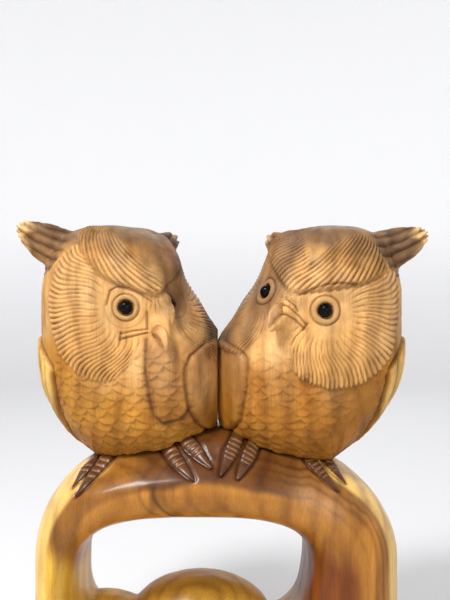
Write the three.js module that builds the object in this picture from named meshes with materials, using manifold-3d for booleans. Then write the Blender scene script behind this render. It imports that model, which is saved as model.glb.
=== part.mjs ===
// Two carved wooden owls sitting side by side on an arch, with four black glass eyes on pegs.
// Millimetres, +Z up, +Y to the rear. Everything is drawn about the seam where the two owls touch (X = 0);
// the finished group is then moved so that its origin is the middle of its footprint, on the shelf.
import * as THREE from 'three';
import { mergeVertices } from 'three/addons/utils/BufferGeometryUtils.js';
import Module from 'manifold-3d';

const wasm = await Module();
wasm.setup();

// ---- Driving dimensions ----
const GAP = 0.35; // between neighbouring solids
const RAD = Math.PI / 180;

// The arch: outer outline, window, and how deep each stretch is from front to back.
const ARCH = {
  halfWidth: 120.5,
  top: 158,
  bottom: -5, // below the shelf, so that a flat foot can be sawn off at zero
  leftShoulder: 2.45, // powers of the superellipse at each corner of the outline
  rightShoulder: 2.05,
  footPower: 5,
  windowX: -13,
  windowHalfWidth: 77.5,
  windowTop: 107,
  windowBottom: 18,
  windowPower: 3,
  windowLean: 14, // how much the window narrows on its right side, from its top to its bottom
  beamHalfDepth: 58,
  legHalfDepth: 46,
  footHalfDepth: 56,
  around: 66,
  across: 22,
};
// The window's floor is uneven: a broad mound, and a lower lump beside the left leg.
const MOUND = { x: -12, y: 8, z: 26, rx: 50, ry: 32, rz: 33 };
const LUMP = { x: -80, y: 12, z: 18, rx: 40, ry: 24, rz: 26 };
// A low saddle on top of the arch, between the two owls.
const SADDLE = { x: -4, y: -6, z: 150, rx: 42, ry: 36, rz: 13 };

// An owl, drawn for the right-hand bird. Each ring of its body is an ellipse from a point on the seam side
// to a point on the outer side, and the first and last rings are points.
const OWL_RINGS = [
  { inner: [78, 298], outer: [78, 298], depth: 0 },
  { inner: [56, 295], outer: [100, 295], depth: 23 },
  { inner: [42, 287], outer: [113, 286], depth: 34 },
  { inner: [34, 274], outer: [121, 272], depth: 42 },
  { inner: [27, 260], outer: [124, 257], depth: 46.5 },
  { inner: [18, 246], outer: [124.5, 242], depth: 48.5 },
  { inner: [10, 232], outer: [124.5, 226], depth: 49 },
  { inner: [2, 220], outer: [125, 210], depth: 49.5 },
  { inner: [-2, 204], outer: [122, 194], depth: 50 },
  { inner: [-2, 187], outer: [114, 178], depth: 48.5 },
  { inner: [0, 170], outer: [101, 161], depth: 46 },
  { inner: [6, 153], outer: [84, 145], depth: 36 },
  { inner: [18, 138], outer: [66, 132], depth: 24 },
  { inner: [45, 128], outer: [45, 128], depth: 0 },
];
const RING_POWER = 2.15;
const OWL_AROUND = 44;
const OWL_LEVELS = 34;
const HEAD = new THREE.Vector3(73, 0, 243);

// How each bird stands and holds its head. Lean is how far its head is moved towards the seam (mm). In
// degrees: turn towards the seam, tip to the outer side, and where the eyes and beak lie, as seen from the
// middle of the head. The eye on the seam side may sit in a hollow (mm).
const LEFT_BIRD = {
  lean: 5,
  turn: 33.5,
  tip: 5,
  eyes: 20.5,
  lift: 1,
  farHollow: 9,
  beakLift: -14,
  tuftTip: [135, -14, 297],
};
const RIGHT_BIRD = {
  lean: 0,
  turn: 33,
  tip: 16,
  eyes: 26,
  lift: 4,
  farHollow: 0,
  beakLift: -6,
  tuftTip: [141.5, -14, 292],
};

const EYE = { radius: 4.3, proud: 2.6, pegRadius: 1.2, pegLength: 9, clearance: 0.3 };
const BEAK = { width: 6.4, height: 8.5, reach: 15, hook: 0.042 };

// Ear tufts are flat tapering leaves: where each leaves the head, and where it ends.
const OUTER_TUFT = { root: [98, -4, 279], height: 15.5, thick: 9, droop: 3 };
const INNER_TUFT = { root: [57, 14, 280], tip: [35, 46, 293], height: 14, thick: 8.5, droop: 2 };

// Toes lie on the front slope of the arch: root and tip of each, as seen from above (x, y).
const TOES = [
  { root: [-78, -22], tip: [-90, -45] },
  { root: [-69, -20], tip: [-86, -48] },
  { root: [-32, -22], tip: [-15, -51] },
  { root: [-22, -20], tip: [-4, -49] },
  { root: [13, -20], tip: [2, -50] },
  { root: [24, -22], tip: [12, -52] },
  { root: [61, -20], tip: [74, -51] },
  { root: [70, -20], tip: [81, -46] },
];
const TOE = { halfWidth: 4.6, height: 4 };

// ---- Small helpers ----
const bell = (x, width) => Math.exp(-((x / width) ** 2));
const bend = (x, power) => Math.sign(x) * Math.abs(x) ** (2 / power);
const mix = THREE.MathUtils.lerp;

// A three.js geometry with only positions, and its shared vertices merged.
function welded(geometry) {
  const bare = geometry.clone();
  bare.deleteAttribute('normal');
  bare.deleteAttribute('uv');
  return mergeVertices(bare, 1e-4);
}

// A welded, closed geometry as a manifold solid.
function solid(geometry) {
  return new wasm.Manifold(new wasm.Mesh({
    numProp: 3,
    vertProperties: geometry.attributes.position.array,
    triVerts: new Uint32Array(geometry.index.array),
  }));
}

function geometryOf(made) {
  const mesh = made.getMesh();
  const geometry = new THREE.BufferGeometry();
  geometry.setAttribute('position', new THREE.BufferAttribute(mesh.vertProperties, 3));
  geometry.setIndex(new THREE.BufferAttribute(mesh.triVerts, 1));
  geometry.computeVertexNormals();
  return geometry;
}

// Moves every vertex of a geometry by a function that changes the vector it is given.
function reshape(geometry, move) {
  const position = geometry.attributes.position;
  const point = new THREE.Vector3();
  for (let i = 0; i < position.count; i++) {
    point.fromBufferAttribute(position, i);
    move(point);
    position.setXYZ(i, point.x, point.y, point.z);
  }
  return geometry;
}

// Where a ray first meets a solid.
function hit(made, from, direction) {
  const mesh = new THREE.Mesh(geometryOf(made), new THREE.MeshBasicMaterial({ side: THREE.DoubleSide }));
  const found = new THREE.Raycaster(from, direction.clone().normalize()).intersectObject(mesh);
  return found[0].point;
}

// ---- The arch: a ring around a window, swept as a torus whose section changes along the way ----
function archOutline(t, grow) {
  const c = Math.cos(t);
  const s = Math.sin(t);
  const middle = (ARCH.top + ARCH.bottom) / 2;
  const shoulder = c > 0 ? ARCH.rightShoulder : ARCH.leftShoulder;
  const power = s > 0 ? shoulder : ARCH.footPower;
  const halfHeight = (ARCH.top - ARCH.bottom) / 2;
  const outer = [
    (ARCH.halfWidth + grow) * bend(c, power),
    middle + (halfHeight + grow) * bend(s, power),
  ];
  const windowMiddle = (ARCH.windowTop + ARCH.windowBottom) / 2;
  const windowHalf = (ARCH.windowTop - ARCH.windowBottom) / 2;
  const inner = [
    ARCH.windowX + (ARCH.windowHalfWidth - grow) * bend(c, ARCH.windowPower),
    windowMiddle + (windowHalf - grow) * bend(s, ARCH.windowPower),
  ];
  if (c > 0) inner[0] -= ARCH.windowLean * (ARCH.windowTop - inner[1]) / (2 * windowHalf);
  return { outer, inner };
}

function archSolid(grow) {
  const torus = welded(new THREE.TorusGeometry(2, 1, ARCH.across, ARCH.around));
  reshape(torus, (p) => {
    const t = Math.atan2(p.y, p.x);
    const ring = Math.hypot(p.x, p.y) - 2;
    const v = Math.atan2(p.z, ring);
    const { outer, inner } = archOutline(t, grow);
    const up = Math.max(0, Math.sin(t)) ** 1.5;
    const down = Math.max(0, -Math.sin(t)) ** 1.5;
    const half = ARCH.legHalfDepth + (ARCH.beamHalfDepth - ARCH.legHalfDepth) * up
      + (ARCH.footHalfDepth - ARCH.legHalfDepth) * down;
    // The upper side of the beam rounds over to the front; its inner side is squarer.
    const outward = Math.cos(v) > 0;
    const power = outward ? mix(2.4, 2.15, up) : mix(3, 3.4, up);
    const across = bend(Math.cos(v), power);
    const deep = bend(Math.sin(v), power);
    const share = (across + 1) / 2;
    p.set(
      mix(inner[0], outer[0], share),
      -(half + grow) * deep,
      mix(inner[1], outer[1], share),
    );
  });
  const floor = ellipsoid(MOUND, 0).add(ellipsoid(LUMP, 0).intersect(outlineBlock()));
  const saddle = ellipsoid(SADDLE, grow);
  const saw = welded(new THREE.BoxGeometry(400, 400, 100));
  saw.translate(0, 0, -50);
  return solid(torus).add(floor).add(saddle).subtract(solid(saw));
}

// Everything inside the arch's outer outline, so that a lump on its floor doesn't stick out past a leg.
function outlineBlock() {
  const rim = [];
  for (let k = 0; k < ARCH.around; k++) {
    const { outer } = archOutline(2 * Math.PI * k / ARCH.around, 0);
    rim.push(new THREE.Vector2(outer[0], outer[1]));
  }
  const depth = 2 * ARCH.legHalfDepth;
  const block = new THREE.ExtrudeGeometry(new THREE.Shape(rim), { depth, bevelEnabled: false });
  block.rotateX(Math.PI / 2);
  block.translate(0, depth / 2, 0);
  return solid(welded(block));
}

// A rounded lump on the arch.
function ellipsoid({ x, y, z, rx, ry, rz }, grow) {
  const ball = welded(new THREE.SphereGeometry(1, 24, 14));
  ball.scale(rx + grow, ry + grow, rz + grow);
  ball.translate(x, y, z);
  return solid(ball);
}

// One toe: a long low ridge along the arch, from beneath the owl to a pointed claw.
function toeSolid(arch, { root, tip }, grow) {
  const down = new THREE.Vector3(0, 0, -1);
  const ends = [root, tip].map(([x, y]) => hit(arch, new THREE.Vector3(x, y, 2 * ARCH.top), down));
  const length = ends[0].distanceTo(ends[1]);
  const along = ends[1].clone().sub(ends[0]).normalize();
  const side = new THREE.Vector3().crossVectors(new THREE.Vector3(0, -0.6, 0.8), along).normalize();
  const up = new THREE.Vector3().crossVectors(along, side).normalize();
  const ridge = welded(new THREE.SphereGeometry(1, 8, 8));
  ridge.rotateZ(-Math.PI / 2);
  reshape(ridge, (p) => {
    const taper = p.x > 0 ? 1 - 0.45 * p.x : 1 + 0.1 * p.x;
    p.set(
      p.x * (length / 2 + grow),
      p.y * (TOE.halfWidth + grow) * taper,
      p.z * (TOE.height + grow) * taper,
    );
  });
  const middle = ends[0].clone().add(ends[1]).multiplyScalar(0.5);
  ridge.applyMatrix4(new THREE.Matrix4().makeBasis(along, side, up).setPosition(middle));
  return solid(ridge);
}

function perchSolid(grow) {
  const bare = archSolid(0);
  const arch = grow ? archSolid(grow) : bare;
  return TOES.reduce((made, toe) => made.add(toeSolid(bare, toe, grow)), arch);
}

// ---- The owls ----
// Where the middle of a bird's head is, and its face's unit vectors: forward, outward along the eyes, up.
function headMiddle({ lean }) {
  return new THREE.Vector3(HEAD.x - lean, HEAD.y, HEAD.z);
}

function faceAxes({ turn, tip }) {
  const yaw = -turn * RAD;
  const forward = new THREE.Vector3(Math.sin(yaw), -Math.cos(yaw), 0);
  const level = new THREE.Vector3(Math.cos(yaw), Math.sin(yaw), 0);
  const outward = level.applyAxisAngle(forward, -tip * RAD);
  const up = new THREE.Vector3().crossVectors(forward, outward);
  return { forward, outward, up };
}

// Direction from the middle of the head, by degrees outward along the eye line and degrees up.
function faceDirection(axes, out, lift) {
  return new THREE.Vector3()
    .addScaledVector(axes.forward, Math.cos(out * RAD) * Math.cos(lift * RAD))
    .addScaledVector(axes.outward, Math.sin(out * RAD) * Math.cos(lift * RAD))
    .addScaledVector(axes.up, Math.sin(lift * RAD));
}

// How far the face stands out (mm) at a direction given in degrees.
function faceRelief(out, lift, bird) {
  const side = Math.abs(out);
  const toEye = Math.hypot(side - bird.eyes, lift - bird.lift);
  const orbit = -3.2 * bell(toEye, 17) + 3.4 * bell(toEye, 8.5);
  const hollow = out < 0 ? -bird.farHollow * bell(toEye, 14) : 0;
  // The brow climbs from the bridge of the nose towards the ear tuft.
  const run = THREE.MathUtils.clamp((side * 62 + (lift - 12) * 32) / (62 * 62 + 32 * 32), 0, 1);
  const toBrow = Math.hypot(side - 62 * run, lift - 12 - 32 * run);
  const brow = 3.4 * bell(toBrow, 13);
  const bridge = 3.2 * bell(side, 8) * bell(lift - 2, 14);
  const chin = 2.5 * bell(side, 16) * bell(lift + 27, 9);
  const crown = -1.5 * bell(side, 30) * bell(lift - 62, 22);
  return orbit + hollow + brow + bridge + chin + crown;
}

function bodySolid(bird) {
  const innerLine = new THREE.CatmullRomCurve3(
    OWL_RINGS.map((r) => new THREE.Vector3(r.inner[0], r.depth, r.inner[1])));
  const outerLine = new THREE.CatmullRomCurve3(
    OWL_RINGS.map((r) => new THREE.Vector3(r.outer[0], r.depth, r.outer[1])));
  const axes = faceAxes(bird);
  const ball = welded(new THREE.SphereGeometry(1, OWL_AROUND, OWL_LEVELS));
  ball.rotateX(Math.PI / 2);
  reshape(ball, (p) => {
    const s = Math.acos(THREE.MathUtils.clamp(p.z, -1, 1)) / Math.PI;
    const around = Math.atan2(p.x, -p.y);
    const inner = innerLine.getPoint(s);
    const outer = outerLine.getPoint(s);
    const pole = s < 1e-4 || s > 1 - 1e-4;
    const share = pole ? 0 : (bend(Math.sin(around), RING_POWER) + 1) / 2;
    const deep = pole ? 0 : -bend(Math.cos(around), RING_POWER);
    p.set(mix(inner.x, outer.x, share), Math.max(0, inner.y) * deep, mix(inner.z, outer.z, share));
    const from = p.clone().sub(HEAD).normalize();
    const out = Math.atan2(from.dot(axes.outward), from.dot(axes.forward)) / RAD;
    const lift = Math.asin(from.dot(axes.up)) / RAD;
    if (Math.abs(out) < 120) p.addScaledVector(from, faceRelief(out, lift, bird) * Math.cos(lift * RAD));
    const lean = bird.lean * THREE.MathUtils.smoothstep(p.z, ARCH.top - 10, HEAD.z - 30);
    p.x = Math.max(p.x - lean, GAP / 2);
  });
  return solid(ball);
}

// An ear tuft: a blunt egg drawn out from root to tip, flattened across.
function tuftSolid(root, tip, { height, thick, droop }) {
  const along = tip.clone().sub(root).normalize();
  const side = new THREE.Vector3().crossVectors(new THREE.Vector3(0, 0, 1), along).normalize();
  const up = new THREE.Vector3().crossVectors(along, side).normalize();
  const length = root.distanceTo(tip);
  const leaf = welded(new THREE.SphereGeometry(1, 16, 14));
  leaf.rotateZ(-Math.PI / 2);
  reshape(leaf, (p) => {
    const t = (p.x + 1) / 2;
    const taper = 1 - 0.3 * t * t;
    p.set(
      mix(-0.25, 1, t) * length,
      p.y * thick * taper,
      p.z * height * taper - droop * Math.sin(Math.PI * t),
    );
  });
  leaf.applyMatrix4(new THREE.Matrix4().makeBasis(along, side, up).setPosition(root));
  return solid(leaf);
}

// The beak: a pointed egg that hooks downwards as it reaches out.
function beakSolid(body, bird) {
  const axes = faceAxes(bird);
  const direction = faceDirection(axes, 0, bird.beakLift);
  const base = hit(body, headMiddle(bird).addScaledVector(direction, 120), direction.clone().negate());
  const egg = welded(new THREE.SphereGeometry(1, 14, 16));
  egg.rotateX(Math.PI / 2);
  egg.rotateY(Math.PI / 2);
  reshape(egg, (p) => {
    const taper = 1 - 0.4 * Math.max(0, p.x);
    const reach = p.x * BEAK.reach;
    p.set(
      reach,
      p.y * BEAK.width * taper,
      p.z * BEAK.height * taper - BEAK.hook * Math.max(0, reach) ** 2,
    );
  });
  const middle = base.addScaledVector(axes.forward, -2);
  egg.applyMatrix4(new THREE.Matrix4().makeBasis(axes.forward, axes.outward, axes.up).setPosition(middle));
  return solid(egg);
}

// A glass eye: a bead on a thin peg. The same shape, grown, is its socket.
function eyeSolid(seat, direction, grow) {
  const bead = welded(new THREE.SphereGeometry(EYE.radius + grow, 18, 12));
  const radius = EYE.pegRadius + grow;
  const peg = welded(new THREE.CylinderGeometry(radius, radius, EYE.pegLength + grow, 8));
  peg.translate(0, -(EYE.pegLength + grow) / 2, 0);
  const turn = new THREE.Quaternion().setFromUnitVectors(new THREE.Vector3(0, 1, 0), direction);
  const matrix = new THREE.Matrix4().makeRotationFromQuaternion(turn).setPosition(seat);
  bead.applyMatrix4(matrix);
  peg.applyMatrix4(matrix);
  return solid(bead).add(solid(peg));
}

// One bird as the right-hand one stands: body, tufts and beak in one, with its eyes let in.
function owlSolids(bird, perchCutter) {
  const body = bodySolid(bird);
  const axes = faceAxes(bird);
  const outerRoot = new THREE.Vector3(...OUTER_TUFT.root);
  const innerRoot = new THREE.Vector3(...INNER_TUFT.root);
  const innerTip = new THREE.Vector3(...INNER_TUFT.tip);
  for (const point of [outerRoot, innerRoot, innerTip]) point.x -= bird.lean;
  let owl = body
    .add(tuftSolid(outerRoot, new THREE.Vector3(...bird.tuftTip), OUTER_TUFT))
    .add(tuftSolid(innerRoot, innerTip, INNER_TUFT))
    .add(beakSolid(body, bird));
  const eyes = {};
  for (const [name, out] of [['outer', bird.eyes], ['inner', -bird.eyes]]) {
    const direction = faceDirection(axes, out, bird.lift);
    const surface = hit(body, headMiddle(bird).addScaledVector(direction, 120), direction.clone().negate());
    const seat = surface.addScaledVector(direction, EYE.proud - EYE.radius);
    eyes[name] = eyeSolid(seat, direction, 0);
    owl = owl.subtract(eyeSolid(seat, direction, EYE.clearance));
  }
  return { owl: owl.subtract(perchCutter), eyes };
}

// ---- Materials and assembly ----
const archWood = new THREE.MeshStandardMaterial({ color: 0x9a6430, roughness: 0.38, metalness: 0 });
const owlWood = new THREE.MeshStandardMaterial({ color: 0xc08a4c, roughness: 0.5, metalness: 0 });
const blackGlass = new THREE.MeshStandardMaterial({ color: 0x08080a, roughness: 0.06, metalness: 0 });

const group = new THREE.Group();
function place(name, made, material) {
  const mesh = new THREE.Mesh(geometryOf(made), material);
  mesh.name = name;
  group.add(mesh);
}

const perchCutter = perchSolid(GAP);
const mirrored = perchCutter.mirror([1, 0, 0]);
const right = owlSolids(RIGHT_BIRD, perchCutter);
const left = owlSolids(LEFT_BIRD, mirrored);

place('arch_perch', perchSolid(0), archWood);
place('right_owl', right.owl, owlWood);
place('left_owl', left.owl.mirror([1, 0, 0]), owlWood);
for (const end of ['inner', 'outer']) {
  place(`right_owl_${end}_eye`, right.eyes[end], blackGlass);
  place(`left_owl_${end}_eye`, left.eyes[end].mirror([1, 0, 0]), blackGlass);
}

// The origin is the middle of the footprint, on the shelf.
const box = new THREE.Box3().setFromObject(group);
group.position.set(-(box.min.x + box.max.x) / 2, -(box.min.y + box.max.y) / 2, -box.min.z);

export default group;
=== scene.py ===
"""Two carved wooden owls on an arch, in a plain studio.

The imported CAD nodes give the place, size and main shape of everything. Each wooden node is copied, given a
fine smooth skin, and then carved: feather strands, scales, brows, eyelids and wings are all moved vertices.
Lengths are millimetres until a mesh is written, which is in metres.
"""
import math

import bpy
import numpy as np
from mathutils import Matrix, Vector, noise
from mathutils.bvhtree import BVHTree


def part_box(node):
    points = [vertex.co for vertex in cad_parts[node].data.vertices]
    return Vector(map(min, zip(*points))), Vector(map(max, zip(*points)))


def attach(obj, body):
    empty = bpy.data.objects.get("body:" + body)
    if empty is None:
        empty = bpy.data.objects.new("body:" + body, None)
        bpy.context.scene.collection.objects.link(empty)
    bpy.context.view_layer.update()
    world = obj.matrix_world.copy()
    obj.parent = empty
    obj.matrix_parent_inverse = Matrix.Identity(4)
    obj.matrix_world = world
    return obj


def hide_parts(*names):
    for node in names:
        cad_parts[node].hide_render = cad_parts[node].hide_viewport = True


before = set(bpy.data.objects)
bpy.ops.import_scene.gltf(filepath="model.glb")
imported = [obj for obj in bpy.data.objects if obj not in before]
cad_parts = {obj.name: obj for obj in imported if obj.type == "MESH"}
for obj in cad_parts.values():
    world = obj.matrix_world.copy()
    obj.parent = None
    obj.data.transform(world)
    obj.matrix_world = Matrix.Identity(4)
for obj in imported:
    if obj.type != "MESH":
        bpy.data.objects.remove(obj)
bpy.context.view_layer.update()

MM = 0.001

# ---- Camera, as the figurine was looked at: level, from straight in front ----
CAMERA = {"right": 4.8, "back": 520.0, "height": 247.0, "lens": 45.5, "sensor": 36.0}

# ---- Wood colours, with painted shade and painted light, linear ----
FEATHER = (0.64, 0.365, 0.135)  # carved, hardly oiled wood of the faces
BELLY = (0.43, 0.195, 0.026)
BELLY_DARK = (0.30, 0.115, 0.012)
CROWN = (0.155, 0.088, 0.046)
# Painted shade on the far half of each face, darkest round its far eye.
FAR_FACE_SHADE = (0.15, 0.075, 0.035)
# Dark heartwood, also used as painted shade at the beak's root and tip.
HEARTWOOD_AND_BEAK_SHADE = (0.26, 0.095, 0.020)
# Painted shade between the two birds.
SEAM_SHADE = (0.085, 0.055, 0.03)
STAIN = (0.075, 0.025, 0.012)
TOE_WOOD = (0.095, 0.036, 0.013)
SAPWOOD = (0.74, 0.47, 0.13)
TUFT_TIP = (0.74, 0.50, 0.23)
BEAK_WOOD = (0.60, 0.33, 0.14)
ARCH_TOP = (0.105, 0.036, 0.007)
# Painted light on the slope right of the ridge.
ARCH_RIDGE_LIGHT = (0.50, 0.27, 0.12)
ARCH_FRONT = (0.43, 0.18, 0.026)
ARCH_RED = (0.15, 0.034, 0.004)
ARCH_YELLOW = (0.66, 0.38, 0.050)
ARCH_DARK = (0.085, 0.028, 0.008)

# ---- The height of the middle of the arch's outline, as in the CAD ----
ARCH_MIDDLE = 76.5

# ---- Skins ----
OWL_VOXEL = 1.4
ARCH_VOXEL = 2.1
OWL_PASSES = 34
ARCH_PASSES = 26


# ======== small maths ========
def ease(low, high, value):
    """0 below low, 1 above high, smooth between; low may be the larger."""
    t = np.clip((value - low) / (high - low), 0.0, 1.0)
    return t * t * (3.0 - 2.0 * t)


def bell(value, width):
    return np.exp(-((value / width) ** 2))


def unit(v):
    return v / np.linalg.norm(v)


def wobble(points, scale, seed=0.0):
    """Smooth noise from -1 to 1 at each point; scale is the size of its lumps."""
    shift = Vector((seed * 7.3, seed * 3.1, -seed * 5.7))
    return np.array([noise.noise(Vector(p) + shift) for p in points / scale])


def strand_lines(count, sharp=3.0):
    """1 on every whole number of count, 0 half way between: a row of narrow cuts."""
    return (0.5 + 0.5 * np.cos(2.0 * np.pi * count)) ** sharp


def scale_gap(across, down):
    """How far each point is above the edge of its scale: round-ended scales in staggered, lapping rows."""
    gap = np.full_like(across, np.nan)
    first = np.floor(down) - 1.0
    for step in range(3):
        row = first + step
        off = across + 0.5 * (row % 2.0)
        off = off - np.round(off)
        drop = 0.35 + 0.9 * np.sqrt(np.clip(1.0 - (2.0 * off) ** 2, 0.0, 1.0))
        above = row + drop - down
        take = np.isnan(gap) & (above >= 0.0)
        gap[take] = above[take]
    return np.nan_to_num(gap, nan=1.0)


def near_polyline(x, z, points):
    """Distance of each point to a line through a few points."""
    points = np.array(points, dtype=float)
    best = np.full_like(x, 1e9)
    for a, b in zip(points[:-1], points[1:]):
        length = np.linalg.norm(b - a)
        d = (b - a) / length
        t = np.clip((x - a[0]) * d[0] + (z - a[1]) * d[1], 0.0, length)
        best = np.minimum(best, np.hypot(x - a[0] - d[0] * t, z - a[1] - d[1] * t))
    return best


# ======== meshes ========
def node_points(name):
    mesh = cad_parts[name].data
    co = np.empty(len(mesh.vertices) * 3)
    mesh.vertices.foreach_get("co", co)
    return co.reshape(-1, 3) / MM


def mesh_object(name, points, faces):
    """A smooth-shaded mesh object from points in millimetres."""
    mesh = bpy.data.meshes.new(name)
    mesh.from_pydata([tuple(p) for p in np.asarray(points) * MM], [], faces)
    mesh.update()
    mesh.shade_smooth()
    obj = bpy.data.objects.new(name, mesh)
    bpy.context.scene.collection.objects.link(obj)
    return obj


def relax(co, edges, passes):
    """Smooths without shrinking: a pass inwards, then one outwards."""
    n = len(co)
    degree = np.maximum(np.bincount(edges.ravel(), minlength=n), 1)[:, None]
    for _ in range(passes):
        for share in (0.62, -0.64):
            total = np.empty_like(co)
            for k in range(3):
                total[:, k] = (np.bincount(edges[:, 0], co[edges[:, 1], k], n)
                               + np.bincount(edges[:, 1], co[edges[:, 0], k], n))
            co = co + share * (total / degree - co)
    return co


class Skin:
    """A fine copy of a CAD node, with its points and normals as arrays."""

    def __init__(self, node, name, voxel, passes):
        self.obj = bpy.data.objects.new(name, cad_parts[node].data.copy())
        bpy.context.scene.collection.objects.link(self.obj)
        remesh = self.obj.modifiers.new("remesh", "REMESH")
        remesh.mode = "VOXEL"
        remesh.voxel_size = voxel * MM * 1.0
        self.bake_modifiers()
        mesh = self.obj.data
        edges = np.empty(len(mesh.edges) * 2, dtype=np.int64)
        mesh.edges.foreach_get("vertices", edges)
        self.set_points(relax(self.points(), edges.reshape(-1, 2), passes))
        self.obj.modifiers.new("fine", "SUBSURF").levels = 1
        self.bake_modifiers()
        self.base = self.points()
        self.out = self.normals()

    def bake_modifiers(self):
        graph = bpy.context.evaluated_depsgraph_get()
        made = bpy.data.meshes.new_from_object(self.obj.evaluated_get(graph))
        self.obj.modifiers.clear()
        self.obj.data = made

    def points(self):
        co = np.empty(len(self.obj.data.vertices) * 3)
        self.obj.data.vertices.foreach_get("co", co)
        return co.reshape(-1, 3) / MM

    def set_points(self, co):
        self.obj.data.vertices.foreach_set("co", (co * MM).ravel())
        self.obj.data.update()

    def normals(self):
        n = np.empty(len(self.obj.data.vertices) * 3)
        self.obj.data.vertices.foreach_get("normal", n)
        return n.reshape(-1, 3)

    def tree(self):
        """For finding places on the carved surface, in millimetres."""
        faces = [tuple(f.vertices) for f in self.obj.data.polygons]
        return BVHTree.FromPolygons([Vector(v) for v in self.points()], faces)

    def finish(self):
        mesh = self.obj.data
        mesh.materials.clear()
        mesh.shade_smooth()
        return self.obj


def paint_tint(obj, colours):
    """The large-scale colour at each vertex: the wood's own, with painted shade and painted light in places.
    The material adds rings, fibres, and painted shade in the cuts.
    """
    layer = obj.data.attributes.new("tint", "FLOAT_COLOR", "POINT")
    rgba = np.c_[np.clip(colours, 0.0, 1.0), np.ones(len(colours))]
    layer.data.foreach_set("color", rgba.astype(np.float32).ravel())


def paint_value(obj, name, values):
    layer = obj.data.attributes.new(name, "FLOAT", "POINT")
    layer.data.foreach_set("value", np.clip(values, 0.0, 1.0).astype(np.float32))


def blend(base, colour, share):
    return base + (np.array(colour) - base) * np.clip(share, 0.0, 1.0)[:, None]


def finish_piece(obj, material, slot, *nodes):
    obj.data.materials.clear()
    obj.data.materials.append(material)
    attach(obj, "root")
    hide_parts(*nodes)


# ======== the two birds ========
SEAM = (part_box("left_owl")[1].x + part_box("right_owl")[0].x) / 2 / MM
HEAD_REACH = 47.0  # from the middle of the head to the eyes
ARC = 0.82  # millimetres of face to a degree, seen from the middle of the head


def fitted_bead(node):
    """Middle, radius and outward direction of a glass eye, from its solid: a ball on a straight peg."""
    points = node_points(node)
    middle = np.median(points, axis=0)
    for _ in range(4):
        ball = points[np.linalg.norm(points - middle, axis=1) < 5.2]
        system = np.c_[2 * ball, np.ones(len(ball))]
        answer = np.linalg.lstsq(system, (ball ** 2).sum(1), rcond=None)[0]
        middle = answer[:3]
    radius = math.sqrt(answer[3] + middle @ middle)
    peg_end = points[np.argmax(np.linalg.norm(points - middle, axis=1))]
    return middle, radius, unit(middle - peg_end)


class Bird:
    """One owl's own frame: x outward from the seam, y to the rear, z up, and its face's map."""

    def __init__(self, name, side, shape):
        self.name = name
        self.side = side
        self.shape = shape
        self.eyes = {end: fitted_bead(f"{name}_owl_{end}_eye") for end in ("outer", "inner")}
        self.eye_points = [self.to_bird(self.eyes[end][0][None])[0] for end in ("outer", "inner")]
        turn, tip = math.radians(shape["turn"]), math.radians(shape["tip"])
        self.forward = np.array([-math.sin(turn), -math.cos(turn), 0.0])
        level = np.array([math.cos(turn), -math.sin(turn), 0.0])
        self.outward = level * math.cos(tip) + np.array([0.0, 0.0, -math.sin(tip)])
        self.up = np.cross(self.forward, self.outward)
        self.up *= np.sign(self.up[2])
        self.eye_side = shape["eyes"] * ARC
        self.eye_lift = shape["lift"] * ARC
        self.head = self.eye_points[0] - HEAD_REACH * self.face_direction(self.eye_side, self.eye_lift)

    def to_bird(self, co):
        out = np.array(co, dtype=float)
        out[:, 0] = (out[:, 0] - SEAM) * self.side
        return out

    def to_row(self, co):
        out = np.array(co, dtype=float)
        out[:, 0] = out[:, 0] * self.side + SEAM
        return out

    def face_map(self, p):
        """Millimetres outward from the middle of the face, and up it, measured round the head."""
        d = p - self.head
        d /= np.linalg.norm(d, axis=1)[:, None]
        s = np.degrees(np.arctan2(d @ self.outward, d @ self.forward)) * ARC
        t = np.degrees(np.arcsin(np.clip(d @ self.up, -1.0, 1.0))) * ARC
        return s, t

    def face_direction(self, s, t):
        a, b = math.radians(s / ARC), math.radians(t / ARC)
        level = self.forward * math.cos(a) + self.outward * math.sin(a)
        return level * math.cos(b) + self.up * math.sin(b)


# Turn, tip, eyes and lift are degrees, as on the CAD heads. Everything else is millimetres. The face's map
# is (outward, up) from the middle of the face. Strokes are (outward, up) from the outer eye, from the front.
# Panel and knot are (from the seam, height). The disc's rim goes by bearing: 0 is outward, 90 up.
LEFT = Bird("left", -1, {
    "turn": 33.5, "tip": 5.0, "eyes": 20.5, "lift": 1.0,
    "rim_bearing": [-180, -150, -115, -90, -75, -45, 0, 35, 60, 90],
    "rim_radius": [4, 9, 20, 31, 44, 50, 51.5, 53, 50, 36],
    "lines": 66, "fan": 0.36, "rim_step": 1.2,
    "brow_out": [0, 8, 21, 29, 41, 50, 62], "brow_low": [8, 12, 17.5, 22, 33, 43, 50],
    "brow_high": [30, 40, 52, 60, 66, 68, 66], "brow_slope": 47, "brow_bend": 0.35, "brow_wave": 0.10,
    "iris": (1.0, 0.0), "ring": 8.5, "outer_ring": 0.3, "bridge": 7.0,
    "gape_upper": [(2.8, -16.4), (-5.0, -14.6), (-14.0, -13.6)],
    "gape_lower": [(2.2, -19.6), (-6.0, -17.6), (-14.0, -15.8)],
    "gape_hook": [(2.9, -15.8), (3.3, -20.6)],
    "cere": [(-13.2, -3.0), (-13.4, -13.2)],
    "lid": [(12.0, 1.5), (9.5, 10.5), (5.0, 13.0), (-2.0, 12.5), (-9.0, 8.5), (-16.0, 4.0)],
    "leaf_height": [160, 168, 177, 195, 204, 212, 219], "leaf": [5, 12, 17, 19.5, 19.5, 16, 7],
    "panel": [(44, 222), (44.5, 204), (42.2, 186), (39.5, 175), (34, 169.5), (23, 172), (17, 179)],
    "knot": None,
    "beak_out": 1.8, "beak_lift": -12.5, "beak_size": 0.60, "dark_lines": 0.65, "light_lines": 0.6,
})
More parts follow.
